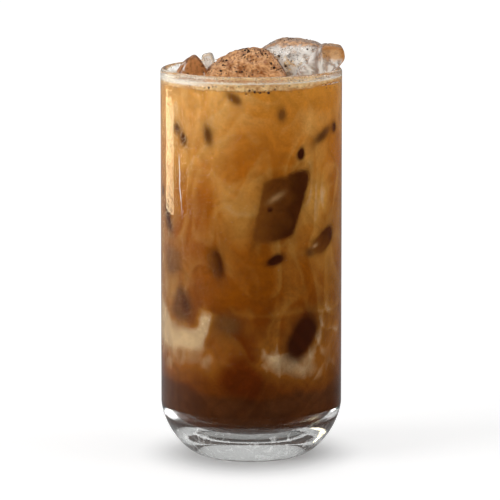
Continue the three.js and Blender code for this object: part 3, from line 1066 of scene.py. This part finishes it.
def trail_form():
    """A long bead of water laid along the trail"""
    form = bmesh.new()
    bmesh.ops.create_uvsphere(form, u_segments=16, v_segments=96, radius=1)
    places = np.linspace(0, 1, len(TRAIL))
    for vert in form.verts:
        way = (1 - math.asin(max(-1, min(1, vert.co.z))) * 2 / math.pi) / 2
        angle, height = (float(np.interp(way, places, values)) for values in zip(*TRAIL))
        head = math.exp(-((way / DROP_LENGTH) ** 2))
        full = 0.7 + 0.3 * math.sin(way * 34) * math.sin(way * 13 + 1)
        width = (TRAIL_WIDTH * full + (DROP_WIDTH - TRAIL_WIDTH) * head) / 2
        bulge = TRAIL_THICKNESS * (full + head)
        turn = math.radians(angle) + vert.co.x * width / GLASS_RADIUS
        radius = GLASS_RADIUS - 0.05 + max(-vert.co.y, 0) * bulge + min(-vert.co.y, 0) * 0.05
        vert.co = (radius * math.sin(turn), -radius * math.cos(turn), height)
    bmesh.ops.recalc_face_normals(form, faces=form.faces[:])
    return form


def water_look():
    look = new_look("dew")
    shader = shader_of(look)
    shader.inputs["Roughness"].default_value = 0.02
    shader.inputs["IOR"].default_value = 1.33
    # Half white: a painted highlight along the trail
    shader.inputs["Transmission Weight"].default_value = 0.5
    wire(look, eased(look, grain(look, 1.5), 0.3, 0.7, 0.96, 1), shader.inputs["Base Color"])
    relief(look, grain(look, 0.8), 0.04)
    lets_light_through(look)
    return look


finished(trail_form(), "dew_trail", water_look())

# Studio: a pale floor, a white room lit softly from above and the left, and a camera in front.
# The floor glows, though it is no lamp, more with distance from the glass: the soft shade round the
# glass is a painted shadow, and the rest is white.
# Sizes here are in metres, and the room is seen white but lights and mirrors less than it shows.
FLOOR_DROP = 0.0001
FLOOR_SIZE = 8
FLOOR_TONE = (0.62, 0.62, 0.62)
SHADE_NARROWING = 1.25
SHADOW_GLOW = (0.024, 0.06, 0.14, 0.52)
FAR_GLOW = (0.1, 1.2, 0, 0.26)
ROOM_SEEN = 1
ROOM_LIGHT = 0.41
ROOM_MIRRORED = (0.04, 0.3)
BRIGHT_SIDE = (-0.6, 0.8, 0)
CAMERA = (0, -1.6, 0.329)
AIM = (-0.0005, 0, 0.0819)
FRAME_PIXELS = 500
FOCAL_PIXELS = 4062.3
SENSOR = 36

floor_form = bmesh.new()
bmesh.ops.create_grid(floor_form, x_segments=1, y_segments=1, size=FLOOR_SIZE / 2)
bmesh.ops.translate(floor_form, vec=(0, 0, -FLOOR_DROP), verts=floor_form.verts[:])
floor_mesh = bpy.data.meshes.new("floor")
floor_form.to_mesh(floor_mesh)
floor_form.free()
floor_look = new_look("pale_floor")
shader_of(floor_look).inputs["Base Color"].default_value = (*FLOOR_TONE, 1)
shader_of(floor_look).inputs["Emission Color"].default_value = (1, 1, 1, 1)
floor_place = add_node(floor_look, "ShaderNodeTexCoord")
stretch = add_node(floor_look, "ShaderNodeVectorMath")
stretch.operation = "MULTIPLY"
stretch.inputs[1].default_value = (SHADE_NARROWING, 1, 0)
distance = add_node(floor_look, "ShaderNodeVectorMath")
distance.operation = "LENGTH"
wire(floor_look, floor_place.outputs["Object"], stretch.inputs[0])
wire(floor_look, stretch.outputs["Vector"], distance.inputs[0])
# Painted shadow: the floor glows least near the glass
painted_shadow_glow = eased(floor_look, distance.outputs["Value"], *SHADOW_GLOW)
far_glow = eased(floor_look, distance.outputs["Value"], *FAR_GLOW)
glow = add_node(floor_look, "ShaderNodeMath")
wire(floor_look, painted_shadow_glow, glow.inputs[0])
wire(floor_look, far_glow, glow.inputs[1])
wire(floor_look, glow.outputs["Value"], shader_of(floor_look).inputs["Emission Strength"])
floor_mesh.materials.append(floor_look)
floor = bpy.data.objects.new("floor", floor_mesh)
bpy.context.scene.collection.objects.link(floor)
floor.visible_glossy = False


def lamp(name, place, aim, size, radiance):
    """A soft lamp of a width and height in metres that faces its aim"""
    light = bpy.data.lights.new(name, "AREA")
    light.shape = "RECTANGLE"
    light.size, light.size_y = size
    light.energy = radiance * math.pi * size[0] * size[1]
    stand = bpy.data.objects.new(name, light)
    stand.location = place
    stand.rotation_euler = (Vector(aim) - Vector(place)).to_track_quat("-Z", "Y").to_euler()
    stand.visible_camera = False
    bpy.context.scene.collection.objects.link(stand)
    return stand


lamp("key_left", (-1.3, -0.6, 0.8), (0, 0, 0.09), (0.9, 0.9), 5.2)
fill = lamp("fill_right", (1.3, -0.3, 0.5), (0, 0, 0.09), (0.9, 0.9), 2.7)
fill.visible_glossy = False
lamp("overhead", (0.1, 0.2, 1.6), (0, 0, 0), (1.6, 1.6), 0.95)
window = lamp("window_left", (-0.268, 0.165, 0.092), (0, 0, 0.11), (0.12, 0.062), 6)
window.data.color = (1, 0.84, 0.5)
window.visible_diffuse = False

world = bpy.data.worlds.new("white_room")
bpy.context.scene.world = world
world.use_nodes = True
room = world.node_tree.nodes["Background"]
room.inputs["Color"].default_value = (1, 1, 1, 1)
path = add_node(world, "ShaderNodeLightPath")
place = add_node(world, "ShaderNodeTexCoord")
turn = add_node(world, "ShaderNodeVectorMath")
turn.operation = "DOT_PRODUCT"
turn.inputs[1].default_value = BRIGHT_SIDE
shade = add_node(world, "ShaderNodeMapRange", From_Min=0, From_Max=1)
shade.inputs["To Min"].default_value, shade.inputs["To Max"].default_value = ROOM_MIRRORED
mixed = add_node(world, "ShaderNodeMix", A=ROOM_LIGHT)
shown = add_node(world, "ShaderNodeMix", B=ROOM_SEEN)
either = add_node(world, "ShaderNodeMath")
either.operation = "MAXIMUM"
seen = add_node(world, "ShaderNodeMath")
seen.operation = "SUBTRACT"
seen.use_clamp = True
wire(world, place.outputs["Generated"], turn.inputs[0])
wire(world, turn.outputs["Value"], shade.inputs["Value"])
wire(world, path.outputs["Is Glossy Ray"], mixed.inputs["Factor"])
wire(world, shade.outputs["Result"], mixed.inputs["B"])
wire(world, path.outputs["Is Camera Ray"], either.inputs[0])
wire(world, path.outputs["Is Transmission Ray"], either.inputs[1])
wire(world, either.outputs["Value"], seen.inputs[0])
wire(world, path.outputs["Diffuse Depth"], seen.inputs[1])
wire(world, seen.outputs["Value"], shown.inputs["Factor"])
wire(world, mixed.outputs["Result"], shown.inputs["A"])
wire(world, shown.outputs["Result"], room.inputs["Strength"])

camera = bpy.data.cameras.new("camera")
camera.sensor_width = SENSOR
camera.lens = SENSOR * FOCAL_PIXELS / FRAME_PIXELS
camera_stand = bpy.data.objects.new("camera", camera)
camera_stand.location = CAMERA
camera_stand.rotation_euler = (Vector(AIM) - Vector(CAMERA)).to_track_quat("-Z", "Y").to_euler()
bpy.context.scene.collection.objects.link(camera_stand)
bpy.context.scene.camera = camera_stand
bpy.context.scene.view_settings.view_transform = "Standard"
